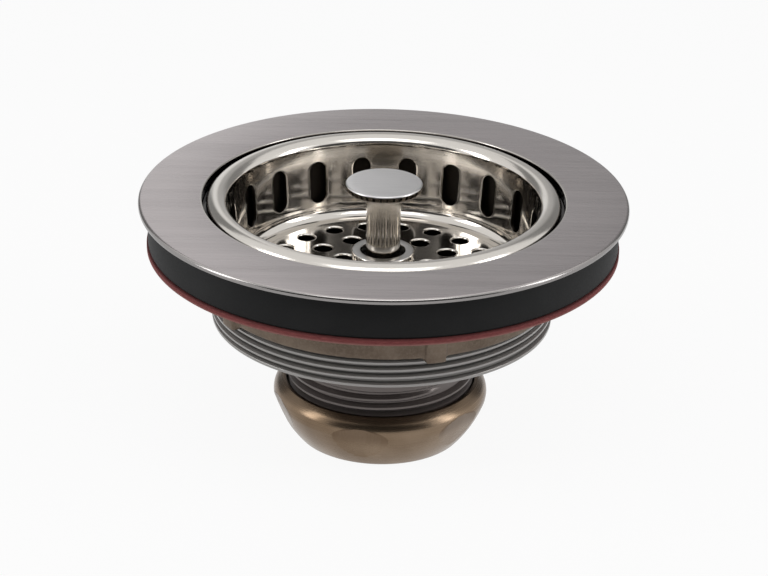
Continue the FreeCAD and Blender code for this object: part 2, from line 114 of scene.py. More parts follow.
def drawLine(name, points, closed=True):  # one vertex, extruded from point to point in the XZ plane
    clearSelection()
    bpy.ops.mesh.primitive_plane_add(size=mm)
    piece = bpy.context.object
    piece.name = name
    bpy.ops.object.mode_set(mode="EDIT")
    bpy.ops.mesh.select_mode(type="VERT")
    bpy.ops.mesh.merge(type="CENTER")
    here = Vector((0, 0))
    route = list(points) + [points[0]] if closed else list(points)
    for number, there in enumerate(route):
        step = (Vector(there) - here) * mm
        if number == 0:
            bpy.ops.transform.translate(value=(step.x, 0, step.y))
        else:
            bpy.ops.mesh.extrude_region_move(TRANSFORM_OT_translate={"value": (step.x, 0, step.y)})
        here = Vector(there)
    bpy.ops.mesh.select_all(action="SELECT")
    bpy.ops.mesh.remove_doubles(threshold=mm / 1000)
    return piece


def spinPiece(name, points, closed=True, angle=2 * math.pi, steps=roundSteps):
    piece = drawLine(name, points, closed)
    if closed and angle < 2 * math.pi:
        bpy.ops.mesh.edge_face_add()
    bpy.ops.mesh.spin(steps=steps, angle=angle, center=(0, 0, 0), axis=(0, 0, 1))
    bpy.ops.mesh.select_all(action="SELECT")
    bpy.ops.mesh.remove_doubles(threshold=mm / 1000)
    bpy.ops.mesh.normals_make_consistent(inside=False)
    bpy.ops.object.mode_set(mode="OBJECT")
    return piece


def turned(piece, angle):  # turns a mesh about the axis, in degrees
    piece.data.transform(Matrix.Rotation(math.radians(angle), 4, "Z"))
    return piece


def copied(piece, name):
    twin = piece.copy()
    twin.data = piece.data.copy()
    twin.name = name
    bpy.context.collection.objects.link(twin)
    return twin


def joined(pieces):
    clearSelection()
    for piece in pieces:
        piece.select_set(True)
    bpy.context.view_layer.objects.active = pieces[0]
    if len(pieces) > 1:
        bpy.ops.object.join()
    return pieces[0]


def modified(piece, kind, settings):
    pickOnly(piece)
    modifier = piece.modifiers.new(kind.title(), kind)
    for setting, value in settings.items():
        setattr(modifier, setting, value)
    bpy.ops.object.modifier_apply(modifier=modifier.name)


def woundThread(name, thread):  # a closed ridge wound round the axis, which runs out at both ends
    root, crest, pitch = thread["root"], thread["crest"], thread["pitch"]
    halfFlat = thread["flat"] / 2
    halfFoot = pitch * thread["footShare"] / 2
    ridge = drawLine(name, [(root - thread["sunk"], -halfFoot), (root, -halfFoot), (crest, -halfFlat),
                            (crest, halfFlat), (root, halfFoot), (root - thread["sunk"], halfFoot)])
    bpy.ops.mesh.edge_face_add()
    bpy.ops.mesh.delete(type="ONLY_FACE")
    bpy.ops.object.mode_set(mode="OBJECT")
    turns = (thread["top"] - thread["foot"] - pitch) / pitch
    steps = thread["steps"]
    wholeSteps = int(turns * steps)
    modified(ridge, "SCREW", {"axis": "Z", "angle": 2 * math.pi * wholeSteps / steps, "steps": wholeSteps,
                              "render_steps": wholeSteps, "screw_offset": pitch * mm * wholeSteps / steps,
                              "use_merge_vertices": False})
    lastTurn = 2 * math.pi * wholeSteps / steps
    runOut = thread["runOut"]
    tip = 0.2  # share of its height that the ridge has left at its very ends
    ring = len(ridge.data.vertices) // (wholeSteps + 1)
    for vertex in ridge.data.vertices:
        height = vertex.co.z / mm
        radius = math.hypot(vertex.co.x, vertex.co.y) / mm
        wound = lastTurn * (vertex.index // ring) / wholeSteps
        along = min(wound, lastTurn - wound) / runOut
        if along < 1:
            left = tip + (1 - tip) * along
            shrunk = root - thread["sunk"] + (radius - root + thread["sunk"]) * left
            vertex.co.x *= shrunk / radius
            vertex.co.y *= shrunk / radius
        vertex.co.z = (height + thread["foot"] + pitch / 2) * mm
    pickOnly(ridge)
    bpy.ops.object.mode_set(mode="EDIT")
    bpy.ops.mesh.select_all(action="DESELECT")
    bpy.ops.mesh.select_mode(type="EDGE")
    bpy.ops.mesh.select_non_manifold()
    bpy.ops.mesh.fill_holes(sides=0)
    bpy.ops.mesh.select_mode(type="VERT")
    bpy.ops.mesh.select_all(action="SELECT")
    bpy.ops.mesh.normals_make_consistent(inside=False)
    bpy.ops.object.mode_set(mode="OBJECT")
    return ridge


def finishPiece(piece, node, material, smoothAngle=35):
    pickOnly(piece)
    bpy.ops.object.shade_smooth_by_angle(angle=math.radians(smoothAngle))
    piece.data.materials.clear()
    piece.data.materials.append(material)
    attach(piece, bodyOfNode[node])
    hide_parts(node)
    print(f"{piece.name}: {len(piece.data.polygons)} faces")


# shader helpers

class Wire:  # a socket that sums can be written with
    def __init__(self, finish, socket):
        self.finish = finish
        self.socket = socket

    def sum(self, operation, first, second):
        return self.finish.add("ShaderNodeMath", {"operation": operation}, {0: first, 1: second})

    def __add__(self, value):
        return self.sum("ADD", self, value)

    def __radd__(self, value):
        return self.sum("ADD", value, self)

    def __sub__(self, value):
        return self.sum("SUBTRACT", self, value)

    def __rsub__(self, value):
        return self.sum("SUBTRACT", value, self)

    def __mul__(self, value):
        return self.sum("MULTIPLY", self, value)

    def __rmul__(self, value):
        return self.sum("MULTIPLY", value, self)

    def __truediv__(self, value):
        return self.sum("DIVIDE", self, value)

    def __pow__(self, value):
        return self.sum("POWER", self, value)


class Finish:
    def __init__(self, name, **constants):
        self.material = bpy.data.materials.new(name)
        self.material.use_nodes = True
        self.nodes = self.material.node_tree.nodes
        self.links = self.material.node_tree.links
        self.shader = self.nodes["Principled BSDF"]
        for socket, value in constants.items():
            self.shader.inputs[socket.replace("_", " ")].default_value = value
        self.place = self.add("ShaderNodeTexCoord", out="Object")
        split = self.add("ShaderNodeSeparateXYZ", inputs={0: self.place}).socket.node
        self.x, self.y, self.z = (Wire(self, output) / mm for output in split.outputs)
        self.radius = (self.x * self.x + self.y * self.y) ** 0.5

    def add(self, kind, settings={}, inputs={}, out=0):
        node = self.nodes.new(kind)
        for setting, value in settings.items():
            setattr(node, setting, value)
        for socket, value in inputs.items():
            self.feed(node.inputs[socket], value)
        return Wire(self, node.outputs[out])

    def feed(self, socket, value):
        if isinstance(value, Wire):
            self.links.new(value.socket, socket)
        else:
            socket.default_value = value

    def set(self, **values):
        for socket, value in values.items():
            self.feed(self.shader.inputs[socket.replace("_", " ")], value)

    def stretched(self, *counts):  # object coordinates, so many patterns to the metre along X, Y and Z
        return self.add("ShaderNodeVectorMath", {"operation": "MULTIPLY"}, {0: self.place, 1: counts})

    def angle(self):  # round the axis, in radians
        return self.add("ShaderNodeMath", {"operation": "ARCTAN2"}, {0: self.y, 1: self.x})

    def wrapped(self, around, across, up):  # coordinates that run round the axis
        turns = self.angle() * around
        return self.add("ShaderNodeCombineXYZ", inputs={0: turns, 1: self.radius * across, 2: self.z * up})

    def noise(self, vector, scale=1.0, detail=2.0, roughness=0.5):
        return self.add("ShaderNodeTexNoise", inputs={"Vector": vector, "Scale": scale, "Detail": detail,
                                                      "Roughness": roughness})

    def between(self, value, low, high):  # 0 below low, 1 above high, soft in between
        return self.add("ShaderNodeMapRange", {"interpolation_type": "SMOOTHSTEP"},
                        {"Value": value, "From Min": low, "From Max": high})

    def mixed(self, factor, first, second):
        colours = {6: first, 7: second}
        padded = {key: (*value, 1) if isinstance(value, tuple) else value for key, value in colours.items()}
        return self.add("ShaderNodeMix", {"data_type": "RGBA"}, {0: factor, **padded}, out=2)

    def bump(self, height, strength, distance):
        self.set(Normal=self.add("ShaderNodeBump", inputs={"Height": height, "Strength": strength,
                                                           "Distance": distance * mm}))


# finishes

nickelZones = {"flange": (42.7, 42.9), "thread": (38.6, 39.0), "threadTop": (-5.3, -4.9),
               "flank": (39.2, 40.1), "neck": (-28.6, -28.1), "ledge": (-2.2, -1.7), "mouth": 42.6,
               "seat": -32.0, "seatRim": 26.0, "bowlSlope": 2.4, "bowl": (20.3, 38.2)}
nickelTones = {"brushed": ((0.385, 0.354, 0.354), (0.475, 0.437, 0.437)),
               "polished": ((0.46, 0.435, 0.41), (0.54, 0.51, 0.48)),
               "side": ((0.25, 0.238, 0.234), (0.31, 0.295, 0.29)),
               "plated": ((0.16, 0.155, 0.148), (0.31, 0.30, 0.29)),
               "satin": ((0.115, 0.099, 0.093), (0.160, 0.140, 0.133)),
               "inside": (0.020, 0.017, 0.014), "gap": (0.030, 0.027, 0.025)}


def brushedNickel(zones, tones):  # brushed flange with its side painted darker as shade, plated threads painted darker in their roots as shade and lighter on their crests as highlight, dull neck, and painted shade inside the bowl and in the gap
    finish = Finish("brushedNickel", Metallic=1.0)
    rim, top = nodeSize("strainer_body")[::2]
    height, radius = finish.z, finish.radius
    onTop = finish.between(height, top - 0.16, top - 0.04) * finish.between(radius, *zones["flange"])
    onSide = finish.between(radius, rim - 0.5, rim - 0.1) * (1 - onTop)
    onThread = finish.between(radius, *zones["thread"]) * (1 - finish.between(height, *zones["threadTop"]))
    onNeck = 1 - finish.between(height, *zones["neck"])
    narrow, wide = zones["bowl"]
    bowlEdge = (height - zones["seat"]) * zones["bowlSlope"] + zones["seatRim"]
    innerEdge = finish.add("ShaderNodeClamp", inputs={0: bowlEdge, 1: narrow, 2: wide})
    aboveLedge = finish.between(height, *zones["ledge"])
    # painted shade: the bowl below the ledge is painted near black
    inside = finish.between(innerEdge - radius, -0.1, 0.1) * (1 - aboveLedge)
    # painted shade in the gap round the basket's rim, up to just below the flange top
    shadeInGap = finish.between(zones["mouth"] - radius, 0.0, 0.1) * aboveLedge
    shadeInGap = shadeInGap * (1 - finish.between(height, top - 0.4, top - 0.2))
    lines = finish.noise(finish.stretched(60, 4200, 4200), detail=3)
    broad = finish.noise(finish.stretched(11, 300, 300), detail=2)
    turning = finish.noise(finish.wrapped(2.0, 9.0, 9.0), detail=3)
    streaks = finish.between(lines * 0.6 + broad * 0.4, 0.28, 0.72)
    rootShadeCrestShine = finish.between(radius, *zones["flank"])
    colour = finish.mixed(turning, *tones["polished"])
    colour = finish.mixed(onTop, colour, finish.mixed(streaks, *tones["brushed"]))
    # painted shade: the flange's side is painted darker than its top
    colour = finish.mixed(onSide, colour, finish.mixed(turning, *tones["side"]))
    colour = finish.mixed(onNeck, colour, finish.mixed(turning, *tones["satin"]))
    # painted shade and highlight: the plated thread is darker towards its roots and lighter on its crests
    colour = finish.mixed(onThread, colour, finish.mixed(rootShadeCrestShine, *tones["plated"]))
    # painted shade inside the bowl and in the mouth's gap
    colour = finish.mixed(inside, colour, tones["inside"])
    colour = finish.mixed(shadeInGap, colour, tones["gap"])
    rough = 0.09 + onTop * (0.13 + lines * 0.14) + onSide * 0.1
    rough = rough + onThread * 0.22 + onNeck * 0.24 + inside * 0.4
    finish.set(Base_Color=colour, Roughness=rough, Metallic=1 - (onThread + onNeck) * 0.4)
    finish.bump(lines * onTop + turning * (onThread + onNeck) * 0.4, 0.18, 0.02)
    return finish.material


basketZones = {"rim": (36.4, 36.8), "rimFoot": (-0.2, 0.3), "floor": (-17.4, -17.0), "skirt": (40.7, 41.3),
               "skirtTop": (0.0, 0.7)}


def polishedNickel(zones):
    finish = Finish("polishedNickel", Metallic=1.0)
    cloud = finish.noise(finish.place, scale=90, detail=3)
    marks = finish.noise(finish.wrapped(3.0, 2.0, 14.0), detail=2)
    colour = finish.mixed(cloud, (0.575, 0.545, 0.505), (0.645, 0.615, 0.575))
    onRim = finish.between(finish.radius, *zones["rim"]) * finish.between(finish.z, *zones["rimFoot"])
    onFloor = 1 - finish.between(finish.z, *zones["floor"])
    # painted shade: the rim's skirt is painted near black where it hangs in the mouth's gap
    shadeInGap = 1 - finish.between(finish.z, *zones["skirtTop"])
    shadeInGap = finish.between(finish.radius, *zones["skirt"]) * shadeInGap
    colour = finish.mixed(shadeInGap, colour, (0.05, 0.046, 0.042))
    finish.set(Base_Color=colour, Roughness=0.05 + cloud * 0.06 + onRim * 0.1 + onFloor * 0.05)
    finish.bump(marks, 0.1, 0.02)
    return finish.material


# the knob's side tone is painted shade, darker than the stem's tone of the same polished metal
knobTones = {"edge": 0.6, "brushed": ((0.52, 0.51, 0.51), (0.68, 0.67, 0.67)),
             "side": (0.32, 0.29, 0.26)}
collarTones = {"edge": 0.04, "brushed": ((0.36, 0.35, 0.34), (0.46, 0.45, 0.44)),
               "side": (0.55, 0.52, 0.48)}
stemTone = (0.64, 0.60, 0.545)


def brushedTop(name, node, tones):  # polished round its side, brushed on its top face
    finish = Finish(name, Metallic=1.0)
    edgeFoot = nodeSize(node)[2] - tones["edge"]
    onTop = finish.between(finish.z, edgeFoot - 0.15, edgeFoot)
    lines = finish.noise(finish.stretched(120, 4200, 4200), detail=3)
    cloud = finish.noise(finish.place, scale=130, detail=3)
    onKnob = finish.between(finish.radius, 4.6, 5.0)
    polished = finish.mixed(cloud, tones["side"], tuple(share * 1.15 for share in tones["side"]))
    # painted shade: the knob's side is darker than the stem
    polished = finish.mixed(onKnob, stemTone, polished)
    finish.set(Base_Color=finish.mixed(onTop, polished, finish.mixed(lines, *tones["brushed"])))
    finish.set(Roughness=0.14 - onKnob * 0.04 + onTop * (0.14 + lines * 0.16))
    finish.bump(lines * onTop, 0.2, 0.02)
    return finish.material


def blackRubber():
    finish = Finish("blackRubber", Specular_IOR_Level=0.22)
    grain = finish.noise(finish.place, scale=2600, detail=3)
    cloud = finish.noise(finish.place, scale=70, detail=2)
    bloom = finish.between(cloud, 0.45, 0.8)
    colour = finish.mixed(bloom, (0.0035, 0.0037, 0.0040), (0.0065, 0.0066, 0.0070))
    finish.set(Base_Color=colour, Roughness=0.55 + grain * 0.18)
    finish.bump(grain, 0.3, 0.05)
    return finish.material


def redFibre():
    finish = Finish("redFibre", Specular_IOR_Level=0.3)
    foot, top = nodeSize("friction_washer")[1:]
    threads = finish.noise(finish.wrapped(60, 2.2, 5.0), detail=4, roughness=0.65)
    flecks = finish.noise(finish.place, scale=1500, detail=3)
    red = finish.mixed(finish.between(threads, 0.25, 0.75), (0.125, 0.026, 0.026), (0.20, 0.052, 0.050))
    paleLowerEdge = finish.between(foot + 0.75 - finish.z, 0.0, 0.75) * (0.45 + flecks * 0.5)  # paler towards the lower edge: partly the cut fibre, partly a painted highlight
    # painted shadow: darker towards the top, under the gasket
    shaded = finish.between(finish.z, top - 0.5, top)
    colour = finish.mixed(paleLowerEdge, red, (0.32, 0.165, 0.145))
    colour = finish.mixed(shaded * 0.7, colour, (0.05, 0.010, 0.010))
    finish.set(Base_Color=colour, Roughness=0.72 + flecks * 0.2)
    finish.bump(threads + flecks * 0.5, 0.4, 0.06)
    return finish.material


def castBronze():
    finish = Finish("castBronze", Metallic=0.85)
    sand = finish.noise(finish.place, scale=1500, detail=4, roughness=0.6)
    patches = finish.noise(finish.place, scale=160, detail=3)
    colour = finish.mixed(finish.between(patches, 0.3, 0.7), (0.122, 0.091, 0.068), (0.178, 0.137, 0.104))
    colour = finish.mixed(finish.between(sand, 0.4, 0.75) * 0.4, colour, (0.25, 0.203, 0.160))
    finish.set(Base_Color=colour, Roughness=sand * 0.2 + 0.42)
    finish.bump(sand + patches * 0.6, 0.55, 0.16)
    return finish.material


def machinedBrass(sizes):  # turned all round, with milled flats painted darker as shade and streaked by mill marks
    finish = Finish("machinedBrass", Metallic=1.0)
    lines = finish.noise(finish.wrapped(1.2, 14.0, 14.0), detail=3)
    cloud = finish.noise(finish.place, scale=110, detail=3)
    marks = finish.noise(finish.wrapped(70, 0, 0.25), detail=2)
    tone = finish.between(lines * 0.4 + cloud * 0.6, 0.3, 0.7)
    top = nodeSize("coupling_nut")[2]
    bevelShade = finish.between(finish.z, top - sizes["bevel"], top - sizes["bevel"] / 2)
    lean = math.radians(sizes["flatLean"])
    halfStep = math.pi / sizes["flatCount"]
    fromFlat = finish.add("ShaderNodeMath", {"operation": "WRAP"},
                          {0: finish.angle() - math.radians(sizes["turn"]), 1: halfStep, 2: -halfStep})
    reach = finish.radius * finish.add("ShaderNodeMath", {"operation": "COSINE"}, {0: fromFlat})
    rise = finish.z - (top - sizes["bevel"] - sizes["shoulderHeight"] / 2)
    past = (reach - (sizes["widest"] - sizes["flatDepth"])) * math.cos(lean) - rise * math.sin(lean)
    onFlat = finish.between(past, -0.12, -0.03) * finish.between(rise, -4.2, -0.8)  # fades down the taper
    brass = finish.mixed(tone, (0.165, 0.114, 0.073), (0.240, 0.176, 0.122))
    # painted shade on the milled flats, broken by mill marks
    brass = finish.mixed(onFlat * (0.25 + marks * 0.5), brass, (0.095, 0.060, 0.036))
    # painted shade: darker from the bevel's foot upwards
    finish.set(Base_Color=finish.mixed(bevelShade * 0.5, brass, (0.070, 0.050, 0.034)))
    finish.set(Roughness=0.2 + lines * 0.12 + onFlat * 0.08)
    finish.bump(lines + cloud * 0.5 + marks * onFlat, 0.2, 0.03)
    return finish.material


def platedSteel():
    finish = Finish("platedSteel", Metallic=1.0)
    cloud = finish.noise(finish.place, scale=300, detail=3)
    lines = finish.noise(finish.wrapped(1.5, 10.0, 10.0), detail=2)
    colour = finish.mixed(cloud, (0.38, 0.38, 0.37), (0.52, 0.51, 0.49))
    finish.set(Base_Color=colour, Roughness=0.2 + lines * 0.16)
    finish.bump(lines, 0.15, 0.02)
    return finish.material


finishes = {"brushed_nickel": brushedNickel(nickelZones, nickelTones),
            "polished_nickel": polishedNickel(basketZones), "black_rubber": blackRubber(),
            "red_fibre": redFibre(), "cast_bronze": castBronze(), "plated_steel": platedSteel()}
knobFinish = brushedTop("brushedKnob", "knob_stem", knobTones)
collarFinish = brushedTop("brushedCollar", "stem_guide", collarTones)
print("finishes ready")


# strainer body: flange, ledge, bowl and neck, with wound threads

bodySizes = {"edge": 0.7, "lip": 55.4, "recess": 0.4, "mouth": 42.4, "mouthEdge": 0.25, "ledge": -1.5,
             "throat": 37.6, "shoulder": 44.1, "shoulderFoot": -2.5, "barrelTop": -5.5, "barrelFoot": -28.3,
             "endRing": 0.7, "bowlFoot": -25.5, "bowlBend": 4.0, "seat": -32.0, "seatRim": 24.2,
             "outlet": 19.3, "hip": -35.0, "hipBend": 1.2, "neck": 21.5, "lead": 0.4, "steps": 360}
barrelThread = {"root": 39.25, "crest": 40.2, "pitch": 1.814, "flat": 0.5, "footShare": 0.92, "sunk": 0.5,
                "foot": -28.3, "top": -5.8, "steps": 180, "runOut": 0.5}
neckThread = {"root": 21.1, "crest": 22.2, "pitch": 2.209, "flat": 0.5, "footShare": 0.92, "sunk": 0.5,
              "foot": -50.2, "top": -39.4, "steps": 120, "runOut": 0.6}


def makeStrainerBody(sizes):
    rim, neckEnd, top = nodeSize("strainer_body")
    neck, barrel = neckThread["root"], barrelThread["root"]
    endRing = sizes["barrelFoot"] + sizes["endRing"]  # the blank's full width, left below the thread
    outline = softOutline([
        (sizes["outlet"], neckEnd, 0.3), (neck, neckEnd, 0.4),
        (neck, neckThread["top"], 0), (sizes["neck"], neckThread["top"] + sizes["lead"], 0),
        (sizes["neck"], sizes["hip"], sizes["hipBend"]), (barrelThread["crest"], sizes["barrelFoot"], 0.3),
        (barrelThread["crest"], endRing, 0.2), (barrel, endRing + sizes["lead"], 0),
        (barrel, sizes["barrelTop"], 0.3), (sizes["shoulder"], sizes["shoulderFoot"], 0.5),
        (sizes["shoulder"], sizes["recess"], 0), (sizes["lip"], sizes["recess"], 0),
        (sizes["lip"], 0, 0.15), (rim, 0, 0.25), (rim, top, sizes["edge"]),
        (sizes["mouth"], top, sizes["mouthEdge"]),
        (sizes["mouth"], sizes["ledge"], 0.3), (sizes["throat"], sizes["ledge"], 0.5),
        (sizes["throat"], sizes["bowlFoot"], sizes["bowlBend"]), (sizes["seatRim"], sizes["seat"], 0.8),
        (sizes["outlet"], sizes["seat"], 0.6)])
    body = spinPiece("strainerBody", outline, steps=sizes["steps"])
    threads = [woundThread("barrelRidge", barrelThread), woundThread("neckRidge", neckThread)]
    return joined([body] + threads)


finishPiece(makeStrainerBody(bodySizes), "strainer_body", finishes["brushed_nickel"])


# gasket and friction washer

gasketSizes = {"bore": 44.5, "edge": 0.6}
washerSizes = {"bore": 40.8, "edge": 0.25}


def makeRing(name, node, sizes):
    outside, foot, top = nodeSize(node)
    corners = ((sizes["bore"], foot), (outside, foot), (outside, top), (sizes["bore"], top))
    return spinPiece(name, softOutline([(across, up, sizes["edge"]) for across, up in corners], 4))


finishPiece(makeRing("sinkGasket", "sink_gasket", gasketSizes), "sink_gasket",
            finishes["black_rubber"])
finishPiece(makeRing("frictionWasher", "friction_washer", washerSizes), "friction_washer",
            finishes["red_fibre"])


# locknut: a cast ring with a bearing flange and lugs, melted together as in the mould

locknutSizes = {"bore": 40.5, "ring": 41.8, "bearing": 2.6, "lugTop": 43.7, "lugFoot": 42.9,
                "lugCount": 5, "lugAngle": 6.5, "lugDrop": 0.9, "lugSunk": 0.5, "turn": -1,
                "grain": 0.5, "melt": 3}


def makeLocknut(sizes):
    outside, foot, top = nodeSize("locknut")
    under = top - sizes["bearing"]
    lugEnd, lugStart = foot - sizes["lugDrop"], under + sizes["lugSunk"]
    pieces = [spinPiece("castLocknut", softOutline([
        (sizes["bore"], foot, 0), (sizes["ring"], foot, 0.5), (sizes["ring"], under, 1.0),
        (outside, under, 0.9), (outside, top, 0.5), (sizes["bore"], top, 0)], 4))]
    for number in range(sizes["lugCount"]):
        lug = spinPiece(f"lug{number}", [(sizes["bore"], lugEnd), (sizes["lugFoot"], lugEnd),
                                         (sizes["lugTop"], lugStart), (sizes["bore"], lugStart)],
                        angle=math.radians(sizes["lugAngle"]), steps=12)
        place = sizes["turn"] + 360 * number / sizes["lugCount"]
        pieces.append(turned(lug, place + sizes["lugAngle"] / 2))
    nut = joined(pieces)
    modified(nut, "REMESH", {"mode": "VOXEL", "voxel_size": sizes["grain"] * mm, "adaptivity": 0})
    modified(nut, "SMOOTH", {"factor": 0.5, "iterations": sizes["melt"]})
    return nut


finishPiece(makeLocknut(locknutSizes), "locknut", finishes["cast_bronze"], smoothAngle=180)


# coupling nut: turned with a tapered side, then six leaning flats milled from its shoulder down

couplingSizes = {"hole": 19.6, "foot": 20.1, "bore": 22.5, "widest": 25.6, "shoulder": 25.38, "corner": 25.9,
                 "rounding": 4.0, "land": 0.9, "washerSeat": 6.2, "bevel": 2.4, "shoulderHeight": 2.6,
                 "taperRise": 0.49, "flatCount": 6, "flatDepth": 0.6, "flatLean": 19.5, "turn": 19.5,
                 "flatEdge": 0.15, "edgeAngle": 9}


def makeCouplingNut(sizes):
    bottom, top = nodeSize("coupling_nut")[1:]
    bevelFoot = top - sizes["bevel"]
    taperTop = bevelFoot - sizes["shoulderHeight"]
    seat = bottom + sizes["washerSeat"]
    shoulder = sizes["shoulder"]
    outline = [(sizes["hole"], bottom), (sizes["foot"], bottom)]
    outline += bowedLine((sizes["foot"], bottom), (shoulder, taperTop), sizes["taperRise"], 14)
    outline += softOutline([(shoulder, taperTop, 0), (sizes["corner"], bevelFoot, sizes["rounding"]),
                            (sizes["bore"] + sizes["land"], top, 0.3), (sizes["bore"], top, 0.3),
                            (sizes["bore"], seat, 0), (sizes["hole"], seat, 0)], 10)
    nut = spinPiece("couplingNut", outline)
    pickOnly(nut)
    bpy.ops.object.mode_set(mode="EDIT")
    lean = math.radians(sizes["flatLean"])
    middle = Vector((0, 0, (taperTop + bevelFoot) / 2))
    for number in range(sizes["flatCount"]):
        angle = math.radians(sizes["turn"] + 360 / sizes["flatCount"] * number)
        outward = Vector((math.cos(angle), math.sin(angle), 0))
        place = outward * (sizes["widest"] - sizes["flatDepth"]) + middle
        facing = outward * math.cos(lean) - Vector((0, 0, math.sin(lean)))
        bpy.ops.mesh.select_all(action="SELECT")
        bpy.ops.mesh.bisect(plane_co=place * mm, plane_no=facing, use_fill=True, clear_outer=True)
    bpy.ops.object.mode_set(mode="OBJECT")
    modified(nut, "BEVEL", {"width": sizes["flatEdge"] * mm, "segments": 2, "limit_method": "ANGLE",
                            "angle_limit": math.radians(sizes["edgeAngle"])})
    return nut


finishPiece(makeCouplingNut(couplingSizes), "coupling_nut", machinedBrass(couplingSizes),
            smoothAngle=20)


# basket: one fine sheet with a rolled rim, slots in the wall and punched holes in the floor

basketSizes = {"rim": 41.45, "ledge": -1.5, "rimBase": 0.2, "rimRise": 1.62, "wallTop": 36.5,
               "wallFoot": 35.2, "sheet": 0.7, "floor": -17.7, "channel": -18.4, "bend": 3.0,
               "floorRim": 30.6, "rampFoot": 31.6, "slotCount": 20, "slotWidth": 4.4, "slotTop": -3.55,
               "slotBottom": -14.05, "bandTop": -2.8, "bandFoot": -15.1, "turn": 9, "rollIn": 0.45,
               "guard": 0.75, "shankHole": 5.7, "shankGuard": 0.8, "edge": 0.12, "edgeAngle": 60}
holeRings = [{"count": 20, "ring": 26.3, "hole": 2.05, "turn": 0.0},
             {"count": 14, "ring": 19.0, "hole": 2.2, "turn": 1.5},
             {"count": 6, "ring": 11.7, "hole": 2.15, "turn": 14.0}]


def wallRadius(sizes, height):
    share = (sizes["rimBase"] - height) / (sizes["rimBase"] - sizes["channel"] - sizes["bend"])
    return sizes["wallTop"] + (sizes["wallFoot"] - sizes["wallTop"]) * share


def makeSlotBand(sizes):
    across, ends, sides = 12, 12, 10  # steps along the band, round each end of a slot and up its sides
    rollRadius = sizes["wallTop"]
    half = math.pi / sizes["slotCount"] * rollRadius
    top, foot = sizes["bandTop"], sizes["bandFoot"]
    frameLine = [(-half + 2 * half * step / across, foot) for step in range(across)]
    frameLine += [(half, foot + (top - foot) * step / sides) for step in range(sides)]
    frameLine += [(half - 2 * half * step / across, top) for step in range(across)]
    frameLine += [(-half, top - (top - foot) * step / sides) for step in range(sides)]
    reach = sizes["slotWidth"] / 2
    low, high = sizes["slotBottom"] + reach, sizes["slotTop"] - reach
    slotLine = [(-reach * math.cos(math.pi * step / ends), low - reach * math.sin(math.pi * step / ends))
                for step in range(ends)]
    slotLine += [(reach, low + (high - low) * step / sides) for step in range(sides)]
    slotLine += [(reach * math.cos(math.pi * step / ends), high + reach * math.sin(math.pi * step / ends))
                 for step in range(ends)]
    slotLine += [(-reach, high - (high - low) * step / sides) for step in range(sides)]
    border = drawLine("slotBand", frameLine)
    bpy.ops.object.mode_set(mode="OBJECT")
    slot = drawLine("slot", slotLine)
    bpy.ops.object.mode_set(mode="OBJECT")
    band = joined([border, slot])
    bpy.ops.object.mode_set(mode="EDIT")
    bpy.ops.mesh.select_mode(type="EDGE")
    bpy.ops.mesh.select_all(action="SELECT")
    bpy.ops.mesh.bridge_edge_loops(number_cuts=4, interpolation="LINEAR")
    bpy.ops.mesh.select_mode(type="VERT")
    bpy.ops.object.mode_set(mode="OBJECT")
    for vertex in band.data.vertices:  # rolls the flat strip onto the wall's cone
        angle = vertex.co.x / mm / rollRadius - math.pi / 2 + math.radians(sizes["turn"])
        radius = wallRadius(sizes, vertex.co.z / mm) * mm
        vertex.co.x = radius * math.cos(angle)
        vertex.co.y = radius * math.sin(angle)
    bpy.ops.object.mode_set(mode="EDIT")
    bpy.ops.mesh.select_all(action="SELECT")
    step = 2 * math.pi / sizes["slotCount"]
    bpy.ops.mesh.spin(steps=sizes["slotCount"] - 1, dupli=True, angle=2 * math.pi - step, center=(0, 0, 0),
                      axis=(0, 0, 1))
    bpy.ops.object.mode_set(mode="OBJECT")
    return band


def makeHoles(sizes):
    rims = []
    for row in holeRings:
        hole, roll = row["hole"], sizes["rollIn"]
        profile = [(hole + sizes["guard"], 0), (hole + roll + 0.08, 0)]
        profile += [(hole + roll - roll * math.sin(turn), roll * math.cos(turn) - roll)
                    for turn in (math.pi / 2 * step / 4 for step in range(5))]
        rim = spinPiece("holeRim", profile, closed=False, steps=32)
        rim.data.transform(Matrix.Translation((row["ring"] * mm, 0, sizes["floor"] * mm)))
        for number in range(row["count"]):
            angle = sizes["turn"] + row["turn"] + 360 * number / row["count"]
            rims.append(turned(copied(rim, f"holeRim{number}"), angle))
        bpy.data.objects.remove(rim)
    return rims


def rolledRim(sizes, steps):  # the round top of the rim, from its skirt over to the wall, without its ends
    half = (sizes["rim"] - sizes["wallTop"]) / 2
    roll = (half ** 2 + sizes["rimRise"] ** 2) / (2 * sizes["rimRise"])
    reach = math.asin(half / roll)
    turns = [reach - 2 * reach * step / steps for step in range(1, steps)]
    middle, low = sizes["wallTop"] + half, sizes["rimBase"] + sizes["rimRise"] - roll
    return [(middle + roll * math.sin(turn), low + roll * math.cos(turn)) for turn in turns]


